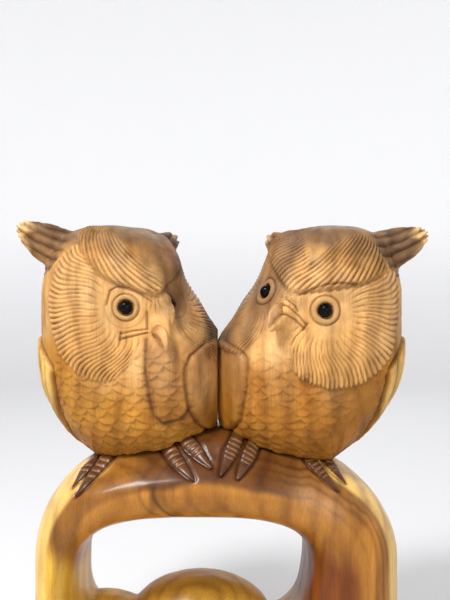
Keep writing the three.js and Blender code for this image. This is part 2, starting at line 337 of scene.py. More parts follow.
RIGHT = Bird("right", 1, {
    "turn": 33.0, "tip": 16.0, "eyes": 26.0, "lift": 4.0,
    "rim_bearing": [-180, -150, -125, -105, -90, -45, 0, 45, 75, 90],
    "rim_radius": [5, 12, 27, 41, 44, 50, 52, 56, 56, 36],
    "lines": 80, "fan": 0.14, "rim_step": 1.9,
    "brow_out": [0, 12, 25, 42, 60, 70], "brow_low": [10, 15, 20.5, 26.5, 34, 36],
    "brow_high": [32, 46, 54, 60, 62, 60], "brow_slope": 68, "brow_bend": -0.5, "brow_wave": 0.30,
    "iris": (1.0, 0.3), "ring": 9.4, "outer_ring": 0.0, "bridge": 1.5,
    "gape_upper": [(-30.0, 3.6), (-23.0, 1.8), (-16.6, -3.2), (-12.0, -8.6)],
    "gape_lower": [(-31.0, -2.2), (-25.0, -2.6), (-19.2, -5.4), (-13.2, -11.4)],
    "gape_hook": [(-11.2, -8.4), (-14.2, -12.4)],
    "cere": [(-24.0, 7.0), (-19.0, 3.0), (-17.0, -0.5)],
    "lid": [(-16.0, 9.6), (-8.0, 13.5), (0.0, 16.0), (9.0, 17.0), (20.0, 16.5)],
    "leaf_height": [160, 169, 190, 209, 214, 219], "leaf": [7, 13, 17, 17.6, 15, 6],
    "panel": None, "knot": (55.5, 197.5),
    "beak_out": -1.0, "beak_lift": -3.2, "beak_size": 0.60, "dark_lines": 0.55, "light_lines": 0.9,
})
# Millimetres from one cut to the next.
BROW_PITCH = 3.1
BRIDGE_PITCH = 2.6
TUFT_PITCH = 8.0
# How far each kind of relief stands out or cuts in, in millimetres.
STRAND_DEPTH = 1.05
RIM_POCKET_DEPTH = 0.55
BROW_RISE = 1.9
BROW_DEPTH = 1.5
LIP_RISE = 1.1
SCALE_RISE = 1.25
NAPE_SCALE_RISE = 1.3
WING_RISE = 2.2
QUILL_DEPTH = 0.8
LEAF_RISE = 1.9
PANEL_RISE = 0.8
TUFT_DEPTH = 1.3


# Painted shade: the cut value darkens the wood in the cuts, creases and grooves; it also gives the knot its
# own dark ring.
def add_cut(carved, line):
    carved["cut"] = np.maximum(carved["cut"], line)


def carve_disc(bird, p, s, t, carved):
    """The feathers that fan out from each eye to a raised rim."""
    shape = bird.shape
    out = np.abs(s) - bird.eye_side
    rise = t - bird.eye_lift
    rho = np.min([np.linalg.norm(p - eye, axis=1) for eye in bird.eye_points], axis=0)
    bearing = np.degrees(np.arctan2(rise, out))
    spread = 1 - shape["fan"] * ease(16, 50, rho)
    count = bearing / spread * shape["lines"] / 360.0
    count += 0.40 * np.sin(rho / 6.0 + bearing / 35.0) * ease(14, 26, rho)
    count += 0.35 * wobble(p, 19.0, 2.0) + 0.14 * wobble(p, 6.0, 2.5)
    rim = np.interp(bearing, shape["rim_bearing"], shape["rim_radius"])
    rim += 1.5 * (1 - strand_lines(count, 1.0)) + 1.2 * wobble(p, 9.0, 2.7)
    low = np.interp(np.abs(s), shape["brow_out"], shape["brow_low"])
    below_brow = 1 - ease(low - 4.0, low - 1.0, t)
    inside = (1 - ease(rim - 0.4, rim + 1.1, rho)) * below_brow
    step = ease(16, 46, rho) * inside
    every_other = 0.5 + 0.5 * np.cos(np.pi * count)
    start = 13.5 + 9 * (1 - ease(0.3, 0.7, every_other)) + 3 * wobble(p, 8.0, 3.5)
    strength = ease(start, start + 10, rho) * inside * (0.75 + 0.35 * wobble(p, 7.0, 3.1))
    cut = strand_lines(count, 2.6) * strength
    pocket = ease(rim - 13, rim - 1.5, rho)
    carved["height"] += shape["rim_step"] * step - (STRAND_DEPTH + RIM_POCKET_DEPTH * pocket) * cut
    # Painted shade in each strand cut, darkest in the pocket by the rim.
    add_cut(carved, cut * (0.62 + 0.38 * pocket))
    # A painted shadow along the foot of the raised rim.
    foot = bell(rho - rim - 1.3, 1.3) * below_brow * ease(20, 34, rho)
    add_cut(carved, 0.16 * shape["rim_step"] * foot)
    carved["disc"] = inside


def carve_brow(bird, p, s, t, carved):
    """Long feathers that sweep from above the beak to the crown, and overhang the eyes."""
    shape = bird.shape
    side = np.abs(s)
    low = np.interp(side, shape["brow_out"], shape["brow_low"])
    high = np.interp(side, shape["brow_out"], shape["brow_high"]) + 3.0 * wobble(p, 8.0, 4.4)
    slope = math.radians(shape["brow_slope"])
    across = s * math.sin(slope) - t * math.cos(slope)
    along = s * math.cos(slope) + t * math.sin(slope)
    count = (across + shape["brow_bend"] * (along - 15) ** 2 / 100) / BROW_PITCH
    count += shape["brow_wave"] * np.sin(along / 7.0)
    count += 0.25 * wobble(p, 16.0, 5.0) + 0.10 * wobble(p, 6.0, 5.5)
    fringe = 1.0 * (1 - strand_lines(count, 1.0))
    above = ease(low - 1.6 - fringe, low + 0.4 - fringe, t)
    inside = above * (1 - ease(high - 8, high + 1, t)) * (1 - ease(60, 68, side))
    if bird is LEFT:
        inside *= ease(-7, 1, s + 0.35 * (20 - t))
    ridge = above * (1 - ease(low + 4, low + 17, t)) * (1 - ease(56, 66, side))
    crease = bell(t - (low - 2.6 - fringe), 1.4) * (1 - ease(50, 58, side))
    cut = strand_lines(count, 2.6) * inside * (0.8 + 0.3 * wobble(p, 8.0, 5.2))
    carved["height"] += BROW_RISE * ridge - BROW_DEPTH * cut - crease
    # Painted shade in the brow's cuts and in the crease under the brow.
    add_cut(carved, np.maximum(0.95 * cut, 0.5 * crease))
    carved["brow"] = inside


def carve_bridge(bird, s, t, carved):
    """The ridge between the eyes that runs down into the beak, with a few short feathers."""
    lean = -0.48 * bird.eye_side if bird is LEFT else 0.0
    ridge = bell(s - lean, 4.2) * ease(-16, -6, t) * (1 - ease(2, 13, t))
    carved["height"] += bird.shape["bridge"] * ridge
    feathers = strand_lines((np.abs(s) + 0.25 * t) / BRIDGE_PITCH, 3.0)
    feathers *= bell(s, 8.0) * ease(-3, 1, t) * (1 - ease(5, 9, t))
    carved["height"] -= 0.5 * feathers
    add_cut(carved, 0.45 * feathers)


def carve_eyes(bird, p, carved):
    """A ring, a raised lid and a seat round each bead, on calm ground."""
    ring_radius = bird.shape["ring"]
    for middle, iris in zip(bird.eye_points, bird.shape["iris"]):
        r = np.linalg.norm(p - middle, axis=1)
        ring = bell(r - ring_radius, 0.62) * (iris > 0)
        outer = bird.shape["outer_ring"] * bell(r - 13.0, 0.6)
        seat = bell(r - 4.7, 0.55)
        # The ground round the eye is smooth: earlier cuts are taken back.
        calm = 1 - ease(ring_radius - 0.5, ring_radius + 3.5, r)
        carved["cut"] *= 1 - calm
        carved["height"] *= 1 - 0.8 * calm
        carved["height"] += 0.7 * bell(r - 6.8, 1.8) - 0.9 * ring - 0.5 * outer - 0.6 * seat
        add_cut(carved, np.maximum.reduce([0.8 * ring, outer, 0.45 * seat]))
        carved["iris"] = np.maximum(carved["iris"], iris * (1 - ease(ring_radius - 1.0, ring_radius, r)))


# Width and depth of each single cut.
STROKES = (("gape_upper", 0.6, 1.1), ("gape_lower", 0.55, 0.9), ("gape_hook", 0.7, 1.3), ("lid", 0.7, 0.9),
           ("cere", 0.7, 0.8))


def carve_strokes(bird, p, front, carved):
    """Single cuts on the near side of the face: the eyelid, and the mouth with its raised lip."""
    x = p[:, 0] - bird.eye_points[0][0]
    z = p[:, 2] - bird.eye_points[0][2]
    lip_line = (np.array(bird.shape["gape_upper"]) + np.array(bird.shape["gape_lower"])) / 2
    carved["height"] += LIP_RISE * bell(near_polyline(x, z, lip_line), 1.7) * front
    for key, width, depth in STROKES:
        line = bell(near_polyline(x, z, bird.shape[key]), width) * front
        carved["height"] -= depth * line
        add_cut(carved, 0.9 * line)


class Barrel:
    """The bird's body as a barrel: for each point, the angle round it from the front, outward positive."""

    def __init__(self, p):
        levels = np.arange(125.0, 305.0, 5.0)
        left, right = [], []
        for z in levels:
            near = p[np.abs(p[:, 2] - z) < 4.0]
            near = near[np.abs(near[:, 1]) < 30.0]
            left.append(near[:, 0].min() if len(near) else np.nan)
            right.append(near[:, 0].max() if len(near) else np.nan)
        good = ~np.isnan(left)
        self.levels = levels[good]
        self.middle = ((np.array(left) + np.array(right)) / 2)[good]
        self.half = ((np.array(right) - np.array(left)) / 2)[good]

    def angle(self, p):
        middle = np.interp(p[:, 2], self.levels, self.middle)
        half = np.interp(p[:, 2], self.levels, self.half)
        return np.degrees(np.arctan2((p[:, 0] - middle) / half, -p[:, 1] / 48.0))


WING_TOP = 223.0
WING_MIDDLE = 88.0  # degrees round the barrel
# The wing's front edge, in degrees round the barrel, by height.
WING_LEVELS = [140, 150, 165, 185, 205, 222]
WING_EDGE = [96, 84, 62, 52, 47, 50]


def scales(p, angle, columns, rows, seed):
    """Rows of overlapping scales, a little uneven: relief from 0 to 1, and a line along each scale's edge."""
    across = angle * 0.9 / columns + 0.30 * wobble(p, 13.0, seed)
    down = (222 - p[:, 2]) / rows + 0.55 * wobble(p, 15.0, seed + 1)
    gap = scale_gap(across, down)
    some = 0.65 + 0.6 * wobble(p, 9.0, seed + 2)
    return (1 - np.clip(gap, 0, 1)) ** 1.4 * np.clip(some, 0.2, 1), bell(gap, 0.11) * np.clip(some, 0, 1)


def carve_body(bird, p, angle, front, carved):
    """Belly scales, folded wings, and the back."""
    shape = bird.shape
    z = p[:, 2]
    turn = np.abs(angle)
    edge = np.interp(z, WING_LEVELS, WING_EDGE)
    back = ease(128, 140, turn)
    below_face = 1 - carved["disc"]
    # The wing's upper end is round: highest at the bird's side.
    wing_top = WING_TOP - 0.013 * (turn - WING_MIDDLE) ** 2
    shoulder = 1 - ease(wing_top - 1.5, wing_top + 0.5, z)
    outer_side = angle > 0
    wing = ease(edge - 1.2, edge + 1.8, turn) * (1 - back) * shoulder * below_face * outer_side
    front_line = bell(turn - (edge - 1.4), 1.6) * shoulder
    top_line = bell(z - wing_top - 1.0, 1.3) * ease(edge - 2, edge + 1, turn) * (1 - back)
    wing_line = np.maximum(front_line, top_line) * below_face * outer_side
    # The inner wing is a plump leaf beside the seam, set off by a deep groove.
    leaf_edge = np.interp(z, shape["leaf_height"], shape["leaf"])
    leaf_gap = (p[:, 0] - leaf_edge) * 0.8
    leaf_range = ease(158, 164, z) * ease(222, 217, z)
    leaf = ease(1.0, -3.0, leaf_gap) * front * leaf_range
    leaf_line = bell(leaf_gap - 0.9, 1.05) * front * leaf_range
    belly = (1 - ease(edge - 4, edge - 1, turn)) * (1 - ease(206, 226, z)) * below_face * (1 - leaf)
    if shape["panel"]:
        gap = near_polyline(p[:, 0], z, shape["panel"])
        breast = front * below_face * (1 - leaf)
        within = breast * ease(45, 42, p[:, 0]) * ease(224, 214, z)
        within *= ease(168, 173, z - 0.25 * (p[:, 0] - 34))
        panel_line = bell(gap, 0.9) * breast
        carved["height"] += PANEL_RISE * within - 1.1 * panel_line
        add_cut(carved, 0.6 * panel_line)
        carved["stain"] = 0.6 * bell(gap - 0.5, 2.2) * breast * (0.7 + 0.6 * wobble(p, 8.0, 15.0))
        carved["panel"] = within
    rise, line = scales(p, angle, 11.5, 4.7, 20.0)
    carved["height"] += belly * (SCALE_RISE * rise - 0.45 * line)
    # Painted highlight along each belly scale's free edge, and painted shade along the same line.
    carved["edge_highlight"] = np.maximum(carved["edge_highlight"], shape["light_lines"] * belly * line)
    add_cut(carved, shape["dark_lines"] * belly * line)
    # Wings: a raised leaf with long feathers that run down it.
    feather = (turn - edge) / 9.5 + 0.15 * np.sin(z / 14.0) + 0.2 * wobble(p, 15.0, 16.0)
    quill = strand_lines(feather, 5.0) * wing * ease(edge + 5, edge + 9, turn)
    carved["height"] += WING_RISE * wing - QUILL_DEPTH * quill - 0.9 * wing_line
    carved["height"] += LEAF_RISE * leaf - 1.2 * leaf_line
    add_cut(carved, np.maximum.reduce([0.6 * quill, 0.8 * wing_line, 0.7 * leaf_line]))
    # Back: larger scales from the nape to the tail.
    nape = ease(118, 132, turn) * (1 - ease(262, 285, z)) * below_face * (1 - wing)
    rise, line = scales(p, angle, 15.0, 9.5, 30.0)
    carved["height"] += nape * (NAPE_SCALE_RISE * rise - 0.5 * line)
    add_cut(carved, 0.7 * nape * line)
    if shape["knot"]:
        out = np.hypot(p[:, 0] - shape["knot"][0], z - shape["knot"][1])
        knot = (bell(out, 1.7) + 0.6 * bell(out - 3.6, 0.8)) * front
        carved["height"] -= 0.9 * bell(out, 1.8) * front
        add_cut(carved, 0.9 * knot)
    carved["wing"] = wing
    carved["leaf"] = leaf


def carve_tufts(p, carved):
    """Long ridges along both ear tufts, which end in a few lobes. Returns how each point is drawn back."""
    high = p[:, 2] > 262
    outer_tip = p[np.argmax(np.where(high, p[:, 0], -1e9))]
    inner_tip = p[np.argmax(np.where(high, p[:, 1], -1e9))]
    drawn = np.zeros_like(p)
    outer, inner = ((-40.0, 9.0, -15.0), 0.16), ((23.0, -32.0, -13.0), 0.30)
    for tip, (to_root, start) in ((outer_tip, outer), (inner_tip, inner)):
        root = tip + np.array(to_root)
        axis = unit(tip - root)
        length = np.linalg.norm(tip - root)
        d = p - root
        along = d @ axis / length
        across = unit(np.cross(axis, (0.0, 0.0, 1.0)))
        rise = np.cross(across, axis)
        v, w = d @ rise, d @ across
        near = (np.hypot(v, w) < 26) & (along > 0) & high
        mask = ease(start, start + 0.14, along) * near
        count = v / (TUFT_PITCH - 2.8 * np.clip(along, 0, 1)) + 0.45 * np.sin(along * 3.4) + 0.25 * np.sign(w)
        count += 0.15 * wobble(p, 9.0, 12.0)
        fine = strand_lines(count * 2.0 + 0.5, 3.0) * mask
        cut = strand_lines(count, 4.0) * mask
        carved["height"] -= TUFT_DEPTH * cut + 0.35 * fine
        add_cut(carved, 0.75 * cut + 0.25 * fine)
        ragged = ease(0.82, 1.0, along) * near
        drawn -= axis * (ragged * strand_lines(count, 1.0) * 3.0)[:, None]
        carved["tuft"] = np.maximum(carved["tuft"], mask)
        pale = ease(0.76, 0.92, along + 0.08 * np.sin(v * 0.5) + 0.006 * np.abs(v))
        carved["tip"] = np.maximum(carved["tip"], pale * near)
    return drawn


def owl_tint(bird, p, s, t, carved):
    """Large-scale colour: pale carved face, golden belly, dark crown and tufts, yellow sapwood wings, and
    painted shade on the far side of each face, between the birds and low on the belly.
    """
    patch = wobble(p * np.array([1.0, 1.0, 0.35]), 17.0, 3.0)
    colours = np.tile(np.array(BELLY), (len(p), 1))
    face = np.maximum(carved["disc"], (1 - ease(30, 42, np.abs(t))) * (1 - ease(20, 60, np.abs(s))))
    upper = ease(214, 232, p[:, 2])
    colours = blend(colours, FEATHER, np.maximum(face, 0.55 * upper))
    colours = blend(colours, BELLY, 0.45 * ease(10, -40, t) * carved["disc"])
    colours = blend(colours, CROWN, 0.9 * ease(34, 46, t + 4 * patch) * (1 - 0.7 * carved["brow"]))
    colours = blend(colours, CROWN, (0.5 if bird is RIGHT else 0.35) * ease(20, 44, t) * carved["brow"])
    colours = blend(colours, CROWN, 0.7 * carved["tuft"] * (1 - carved["tip"]))
    colours = blend(colours, TUFT_TIP, carved["tip"])
    # The far half of each face is darkened with painted shade, darkest round its far eye.
    far = ease(-3, -16, s) * ease(-100, -70, s) * ease(-34, -14, t)
    colours = blend(colours, FAR_FACE_SHADE, (0.65 if bird is RIGHT else 0.35) * far)
    hollow = bell(np.linalg.norm(p - bird.eye_points[1], axis=1), 15.0)
    colours = blend(colours, FAR_FACE_SHADE, 0.9 * hollow)
    if bird is LEFT:
        forehead = ease(8, -4, s) * ease(12, 20, t) * ease(50, 36, t)
        colours = blend(colours, STAIN, (0.62 + 0.3 * patch) * forehead)
        colours = blend(colours, HEARTWOOD_AND_BEAK_SHADE, 0.45 * carved["panel"])
    # Between the birds the wood is darkened with painted shade.
    seam = ease(15, 4, p[:, 0] + 5 * patch) * ease(204, 222, p[:, 2]) * ease(262, 236, p[:, 2])
    colours = blend(colours, SEAM_SHADE, 0.9 * seam)
    rim = ease(0.0, 1.0, (p[:, 0] - 98) / 12 + 0.6 * patch) * carved["wing"]
    colours = blend(colours, SAPWOOD, 0.85 * rim)
    colours = blend(colours, HEARTWOOD_AND_BEAK_SHADE, 0.5 * carved["leaf"])
    streak = wobble(p * np.array([1.0, 1.0, 0.25]), 5.0, 42.0)
    colours *= 1 + 0.25 * (carved["leaf"] * streak)[:, None]
    colours = blend(colours, STAIN, carved["stain"])
    # The belly darkens: the right bird's darker wood and random patches, and painted shade that deepens
    # towards the bottom.
    belly = ease(214, 196, p[:, 2]) * (1 - carved["disc"]) * (1 - carved["wing"])
    darker = (0.75 if bird is RIGHT else 0.1) + 0.5 * patch + 0.5 * ease(176, 152, p[:, 2])
    colours = blend(colours, BELLY_DARK, belly * darker)
    mottle = wobble(p, 6.5, 40.0)
    warm = wobble(p * np.array([1.0, 1.0, 0.5]), 11.0, 41.0)
    shade = 1 + 0.24 * patch + 0.18 * mottle
    return colours * shade[:, None] * (1 + warm[:, None] * np.array([0.02, -0.05, -0.22]))


def carve_owl(bird):
    owl = f"{bird.name}_owl"
    skin = Skin(owl, f"{owl}_carved", OWL_VOXEL, OWL_PASSES)
    p = bird.to_bird(skin.base)
    n = skin.out * np.array([bird.side, 1.0, 1.0])
    s, t = bird.face_map(p)
    angle = Barrel(p).angle(p)
    keys = ("height", "cut", "iris", "edge_highlight", "stain", "panel", "tuft", "tip")
    carved = {key: np.zeros(len(p)) for key in keys}
    front = ease(0.1, -0.25, n[:, 1])
    carve_disc(bird, p, s, t, carved)
    carve_brow(bird, p, s, t, carved)
    carve_body(bird, p, angle, front, carved)
    carve_bridge(bird, s, t, carved)
    drawn = carve_tufts(p, carved)
    carve_eyes(bird, p, carved)
    carve_strokes(bird, p, front, carved)
    height = carved["height"] + 0.28 * wobble(p, 9.0, 1.0) + 0.22 * wobble(p, 3.6, 1.5)
    moved = p + n * height[:, None] + drawn
    moved[:, 0] = np.maximum(moved[:, 0], 0.12)
    skin.set_points(bird.to_row(moved))
    for key in ("cut", "edge_highlight", "iris"):
        paint_value(skin.obj, key, carved[key])
    paint_tint(skin.obj, owl_tint(bird, p, s, t, carved))
    return skin


# ======== lofted pieces ========
def quad_rows(rows, around, first=0):
    """The faces between neighbouring rings of points; first is the number of the first ring's first point."""
    faces = []
    for i in range(rows - 1):
        for k in range(around):
            a, b = first + i * around + k, first + i * around + (k + 1) % around
            faces.append((a, b, b + around, a + around))
    return faces


def loft(name, rings):
    """A skin over rings of equally many points, closed at both ends."""
    around = len(rings[0])
    points = [q for ring in rings for q in ring]
    faces = quad_rows(len(rings), around)
    points += [np.mean(rings[0], axis=0), np.mean(rings[-1], axis=0)]
    first, last = len(points) - 2, len(points) - 1
    base = (len(rings) - 1) * around
    faces += [(first, (k + 1) % around, k) for k in range(around)]
    faces += [(last, base + k, base + (k + 1) % around) for k in range(around)]
    return mesh_object(name, points, faces)


def along_spine(spine, count):
    """Evenly spread places on a smooth curve through a few points; columns are interpolated alike."""
    spine = np.array(spine, dtype=float)
    out = np.empty((count, spine.shape[1]))
    for i, place in enumerate(np.linspace(0, len(spine) - 1, count)):
        k = min(int(place), len(spine) - 2)
        f = place - k
        a, b = spine[max(k - 1, 0)], spine[k]
        c, d = spine[k + 1], spine[min(k + 2, len(spine) - 1)]
        square = 2 * a - 5 * b + 4 * c - d
        cube = 3 * b - a - 3 * c + d
        out[i] = 0.5 * (2 * b + (c - a) * f + square * f ** 2 + cube * f ** 3)
    return out


# The beak's spine, in millimetres forward and up from its root, with half width and half height there.
BEAK_SPINE = [(-8.0, 2.5, 6.4, 6.6), (0.0, 2.0, 6.2, 6.0), (5.5, 0.2, 5.4, 5.0), (8.8, -4.0, 4.3, 3.8),
              (9.8, -9.0, 3.1, 2.7), (8.8, -14.0, 1.8, 1.6), (6.4, -18.6, 0.3, 0.3)]


def beak(bird, tree):
    """A hooked beak with a keel along its top and a pointed tip."""
    direction = bird.face_direction(bird.shape["beak_out"], bird.shape["beak_lift"])
    start = bird.head + direction * 120
    ray = bird.to_row(np.array([start]))[0]
    toward = -direction * np.array([bird.side, 1.0, 1.0])
    place = tree.ray_cast(Vector(ray), Vector(toward))[0]
    root = bird.to_bird(np.array([place]))[0] - bird.forward * bird.shape["bridge"] * 0.3
    size = bird.shape["beak_size"]
    spine = along_spine(BEAK_SPINE, 40)
    rings, shares, grooves = [], [], []
    around = 40
    for i, (out, up, wide, high) in enumerate(spine):
        ahead = unit(spine[min(i + 1, len(spine) - 1)][:2] - spine[max(i - 1, 0)][:2])
        middle = root + size * (bird.forward * out + bird.up * up)
        rise = bird.up * ahead[0] - bird.forward * ahead[1]
        share = i / (len(spine) - 1)
        ring = []
        for k in range(around):
            a = 2 * math.pi * k / around
            c, q = math.cos(a), math.sin(a)
            keel = 1 + 0.30 * max(0.0, q) ** 8
            groove = math.exp(-((q + 0.30) / 0.10) ** 2) * (1 - share)
            slim = 1 - 0.18 * max(0.0, q) ** 2 * abs(c) - 0.10 * groove
            ring.append(middle + size * (bird.outward * wide * c * slim + rise * high * q * keel))
            grooves.append(groove)
        rings.append(bird.to_row(np.array(ring)))
        shares += [share] * around
    if bird.side < 0:
        rings = [ring[::-1] for ring in rings]
        grooves = [g for i in range(len(spine)) for g in grooves[i * around:(i + 1) * around][::-1]]
    obj = loft(f"{bird.name}_owl_beak", rings)
    share = np.array(shares + [0.0, 1.0])
    points = np.array([v.co for v in obj.data.vertices]) / MM
    colours = np.tile(np.array(BEAK_WOOD), (len(share), 1)) * (1 + 0.1 * wobble(points, 3.0, 5.0))[:, None]
    # Painted shade: the beak is darker at its root, where it meets the face, and at its tip.
    colours = blend(colours, HEARTWOOD_AND_BEAK_SHADE, 0.6 * ease(0.42, 0.1, share) + 0.35 * ease(0.85, 1.0, share))
    paint_tint(obj, colours)
    paint_value(obj, "cut", 0.6 * np.array(grooves + [0.0, 0.0]))
    for key in ("edge_highlight", "iris"):
        paint_value(obj, key, np.zeros(len(share)))
    return obj


# Toes: root and tip as seen from the front (from the seam, height).
TOES = [((-76, 150), (-91.4, 128.8)), ((-67.5, 149.5), (-88.3, 124.9)), ((-35, 155), (-14.3, 136.6)),
        ((-23.5, 160), (-3.4, 142.8)), ((13.5, 159.5), (2.2, 139.1)), ((24.5, 156), (12.5, 137.2)),
        ((57.5, 146), (76.2, 126.8)), ((68.5, 146), (81.9, 129.8))]
TOE_HALF_WIDTH = 4.7
KNUCKLES = (0.16, 0.27, 0.38, 0.49, 0.59)


def toe_half_width(t):
    """Plump to the last knuckle, then a long pointed claw."""
    plump = 0.86 + 0.14 * math.sin(math.pi * min(t / 0.55, 1.0))
    return TOE_HALF_WIDTH * plump * min(1.0, ((1.02 - t) / 0.48)) ** 0.75


def toe_path(toe, tree):
    """Points and surface normals from root to tip, on the front of the arch."""
    (x0, z0), (x1, z1) = toe
    path = []
    for t in np.linspace(0, 1, 60):
        x = SEAM + x0 + (x1 - x0) * t
        z = z0 + (z1 - z0) * t
        place = None
        while place is None:
            place, normal, _, _ = tree.ray_cast(Vector((x, -200.0, z)), Vector((0, 1, 0)))
            z -= 0.5
        path.append((np.array(place), np.array(normal)))
    return path


def toe(index, shape, tree):
    path = toe_path(shape, tree)
    rings, tint = [], []
    around = 20
    for i, (place, normal) in enumerate(path):
        t = i / (len(path) - 1)
        ahead = unit(path[min(i + 1, len(path) - 1)][0] - path[max(i - 1, 0)][0])
        side = unit(np.cross(ahead, normal))
        up = np.cross(side, ahead)
        notch = max(math.exp(-((t - k) / 0.012) ** 2) for k in KNUCKLES)
        wide = toe_half_width(t) * (1 - 0.05 * notch)
        high = 1.7 * (wide / TOE_HALF_WIDTH) ** 0.7 * (1 - 0.6 * notch)
        ring = []
        for k in range(around):
            a = 2 * math.pi * k / around
            ring.append(place + side * wide * math.cos(a) + up * (high * max(math.sin(a), -0.6) + 0.1))
        rings.append(ring)
        tint += [notch * max(0.0, math.sin(2 * math.pi * k / around)) ** 2 for k in range(around)]
    obj = loft(f"toe_{index + 1}", rings)
    points = np.array([v.co for v in obj.data.vertices]) / MM
    colours = np.tile(np.array(TOE_WOOD), (len(points), 1)) * (1 + 0.25 * wobble(points, 5.0, 9.0))[:, None]
    paint_tint(obj, blend(colours, BEAK_WOOD, 0.62 * np.array(tint + [0.0, 0.0])))
    for key in ("cut", "edge_highlight", "iris"):
        paint_value(obj, key, np.zeros(len(points)))
    return obj


def turned_bead(name, middle, radius, direction):
    """A glass bead on its peg, turned about its axis: a ball with a slightly flatter front."""
    steps, around = 28, 48
    profile = []
    for i in range(steps + 1):
        a = math.pi * 0.93 * i / steps
        flat = 1 - 0.05 * max(0.0, math.cos(a)) ** 6
        profile.append((radius * math.sin(a), radius * math.cos(a) * flat))
    profile += [(1.2, profile[-1][1] - 0.6), (1.2, -radius - 6.0), (0.8, -radius - 6.6)]
    across = unit(np.cross(direction, (0.0, 0.0, 1.0)))
    up = np.cross(across, direction)
    points = [middle + direction * profile[0][1]]
    for r, h in profile[1:]:
        for k in range(around):
            a = 2 * math.pi * k / around
            points.append(middle + direction * h + (across * math.cos(a) + up * math.sin(a)) * r)
    rows = len(profile) - 1
    faces = [(0, 1 + (k + 1) % around, 1 + k) for k in range(around)]
    faces += quad_rows(rows, around, 1)
    faces.append(tuple(1 + (rows - 1) * around + k for k in range(around)))
    return mesh_object(name, points, faces)


# ======== the arch ========
def outline_inset(p):
    """How far inside the arch's outer outline each point is, seen from the front: 0 at the outline."""
    low, high = (np.array(corner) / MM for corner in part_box("arch_perch"))
    x = p[:, 0] - (low[0] + high[0]) / 2
    rise = np.maximum(p[:, 2] - ARCH_MIDDLE, 0.0)
    reach = np.hypot(x, rise)
    # Above the middle the outline is measured by bearing, below it by height.
    bearing = np.degrees(np.arctan2(rise, x))
    steps = np.arange(0.0, 181.0, 3.0)
    rim = np.array([reach[np.abs(bearing - step) < 2.5].max() for step in steps])
    inset = np.interp(bearing, steps, rim) - reach
    levels = np.arange(0.0, ARCH_MIDDLE + 6.0, 6.0)
    for side in (-1.0, 1.0):
        leg = x * side
        width = np.array([leg[np.abs(p[:, 2] - level) < 4.0].max() for level in levels])
        low_here = (p[:, 2] < ARCH_MIDDLE) & (leg > 0)
        inset[low_here] = (np.interp(p[:, 2], levels, width) - leg)[low_here]
    return inset


def arch_tint(p, n):
    """Dark top, golden front, yellow sapwood along the outline, red heartwood inside the right leg, and
    painted light on the slope right of the ridge.
    """
    patch = wobble(p * np.array([1.0, 0.5, 0.35]), 22.0, 6.0)
    fine = wobble(p * np.array([1.0, 0.4, 0.12]), 6.0, 8.0)
    x = p[:, 0] - SEAM
    z = p[:, 2]
    inset = outline_inset(p) + 2.0 * patch
    colours = np.tile(np.array(ARCH_FRONT), (len(p), 1))
    top = np.maximum(ease(31, 26, inset), ease(0.35, 0.8, n[:, 2])) * ease(88, 106, z - 0.15 * x)
    ends = (1 - 0.55 * ease(45, 66, x)) * (1 - 0.5 * ease(-58, -72, x))
    colours = blend(colours, ARCH_TOP, (0.95 + 0.25 * patch) * top * ends)
    # Painted light: a paler band near the ridge on the right, where the slope catches the lamps.
    tan = ease(34, 56, x) * ease(84, 72, x) * bell(z - 128 + 0.45 * (x - 50), 9.0)
    colours = blend(colours, ARCH_RIDGE_LIGHT, 0.6 * tan)
    pale = bell(x + 58, 9.0) + 0.6 * bell(x - 88, 14.0)
    colours = blend(colours, ARCH_FRONT, 0.5 * pale * top)
    # A darker swirl crosses the top left of the seam, and comes down the front.
    swirl = x + 39 - 0.04 * np.clip(z - 130, -30, 26) ** 2 + 2.5 * patch
    for middle, width, depth in ((0.0, 1.8, 0.8), (-9.0, 1.6, 0.4), (5.0, 3.0, 0.4), (21.0, 2.6, 0.3)):
        colours = blend(colours, ARCH_DARK, depth * bell(swirl - middle, width) * ease(100, 112, z))
    red = ease(40, 50, x) * ease(96, 86, x) * ease(106, 78, z - 0.5 * (66 - x))
    colours = blend(colours, ARCH_RED, 0.9 * red)
    for middle, width, depth in ((54.0, 1.6, 0.8), (60.0, 1.0, 0.6), (66.0, 1.4, 0.5), (73.0, 1.0, 0.35)):
        colours = blend(colours, ARCH_DARK, depth * bell(x - middle - 2.5 * fine, width) * ease(112, 92, z))
    left_leg = ease(-50, -66, x) * ease(84, 64, z + 1.1 * (x + 90) + 6 * patch)
    colours = blend(colours, ARCH_YELLOW, left_leg)
    right_side = ease(0, 30, x)
    for middle, width, depth in ((11.0, 1.1, 0.85), (15.5, 0.8, 0.5), (19.5, 1.4, 0.45), (27.0, 1.0, 0.25)):
        colours = blend(colours, ARCH_DARK, depth * bell(inset - middle - 1.5 * fine, width) * right_side)
    edge = np.where(x < 0, 13.0, 10.5)
    colours = blend(colours, SAPWOOD, ease(edge + 1.8, edge - 1.6, inset) * ease(60, 76, np.abs(x + 4)))
    floor = ease(64, 56, z) * ease(0.2, 0.6, n[:, 2])
    colours = blend(colours, ARCH_YELLOW, 0.6 * floor)
    return colours * (1 + 0.16 * fine + 0.14 * patch)[:, None]


